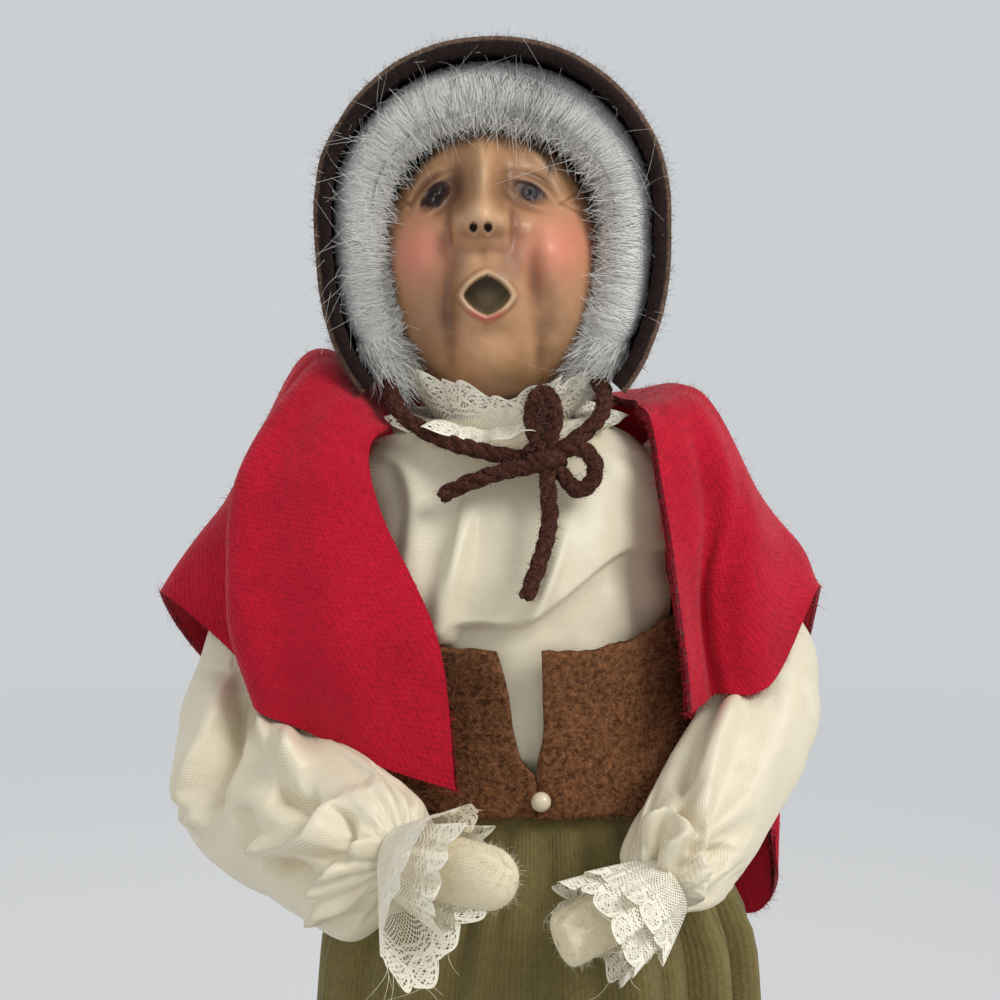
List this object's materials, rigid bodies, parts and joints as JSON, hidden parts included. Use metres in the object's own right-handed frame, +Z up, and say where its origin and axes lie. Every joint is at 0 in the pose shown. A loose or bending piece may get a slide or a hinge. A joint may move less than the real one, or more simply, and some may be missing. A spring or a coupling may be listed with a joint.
{
  "type": "caroler figurine",
  "caption": "Standing cloth-and-clay singing figurine in bonnet, shawl and long skirt on an oval base; its arms bend at shoulder and elbow.",
  "frame": {"origin": "middle of the base's flat underside", "axes": "+Z up through the figure, -Y the way it faces, +X towards its left hand"},
  "size_m": [0.1139, 0.1024, 0.3274],
  "materials": {
    "black_paint": "satin black paint on wood",
    "shoe_paint": "black painted clay",
    "wadding": "wound wadding",
    "steel_wire": "plain wire",
    "cream_cloth": "cotton sateen with a faint twill",
    "white_cotton": "plain cotton",
    "olive_cloth": "ribbed velvet",
    "brown_felt": "hairy felt",
    "bonnet_felt": "felt",
    "dark_velvet": "dark velvet",
    "red_wool": "napped wool twill",
    "lace": "ivory lace",
    "jersey": "fine knit",
    "painted_clay": "satin paint on clay, rubbed darker in the hollows",
    "mohair": "silver white mohair",
    "chenille": "dark brown chenille yarn",
    "pearl": "pearlised bead"
  },
  "bodies": {
    "figure": {"base": "black_paint", "right_shoe": "shoe_paint", "right_leg_padding": "wadding", "left_shoe": "shoe_paint", "left_leg_padding": "wadding", "armature_wire": "steel_wire", "shoulder_wire": "steel_wire", "body_padding": "wadding", "petticoat": "white_cotton", "skirt": "olive_cloth", "blouse": "cream_cloth", "waist_cincher": "brown_felt", "cincher_pin": "steel_wire", "pin_pearl": "pearl", "head": "painted_clay", "hair": "mohair", "nape_hair": "mohair", "bonnet_brim": "bonnet_felt", "bonnet_lining": "dark_velvet", "bonnet_crown": "bonnet_felt", "bonnet_binding": "dark_velvet", "lace_collar": "lace", "bow_knot": "chenille", "tie_right": "chenille", "tie_left": "chenille", "bow_tail_right": "chenille", "bow_tail_front": "chenille", "bow_loop_upper": "chenille", "bow_loop_left": "chenille", "shawl": "red_wool"},
    "right_arm": {"right_upper_arm_wire": "steel_wire", "right_upper_arm_padding": "wadding", "right_sleeve_upper": "cream_cloth"},
    "right_forearm": {"right_forearm_wire": "steel_wire", "right_forearm_padding": "wadding", "right_sleeve_lower": "cream_cloth", "right_cuff_lace": "lace", "right_hand": "jersey"},
    "left_arm": {"left_upper_arm_wire": "steel_wire", "left_upper_arm_padding": "wadding", "left_sleeve_upper": "cream_cloth"},
    "left_forearm": {"left_forearm_wire": "steel_wire", "left_forearm_padding": "wadding", "left_sleeve_lower": "cream_cloth", "left_cuff_lace": "lace", "left_hand": "jersey"}
  },
  "joints": [
    {"name": "right_shoulder_bend", "type": "hinge", "parent": "figure", "child": "right_arm", "pos_m": [-0.0338, 0.003, 0.2615], "axis": [0, 1, 0], "range_deg": [0, 15], "deforming": ["shawl"]},
    {"name": "right_elbow_bend", "type": "hinge", "parent": "right_arm", "child": "right_forearm", "pos_m": [-0.0505, -0.0065, 0.2075], "axis": [-0.7655, -0.6434, 0], "range_deg": [-8, 8], "deforming": ["shawl"]},
    {"name": "left_shoulder_bend", "type": "hinge", "parent": "figure", "child": "left_arm", "pos_m": [0.0263, 0.003, 0.2565], "axis": [0, -1, 0], "range_deg": [0, 15], "deforming": ["shawl"]},
    {"name": "left_elbow_bend", "type": "hinge", "parent": "left_arm", "child": "left_forearm", "pos_m": [0.0408, -0.005, 0.219], "axis": [-0.8544, 0.5196, 0], "range_deg": [-6, 12], "deforming": ["shawl"]}
  ]
}
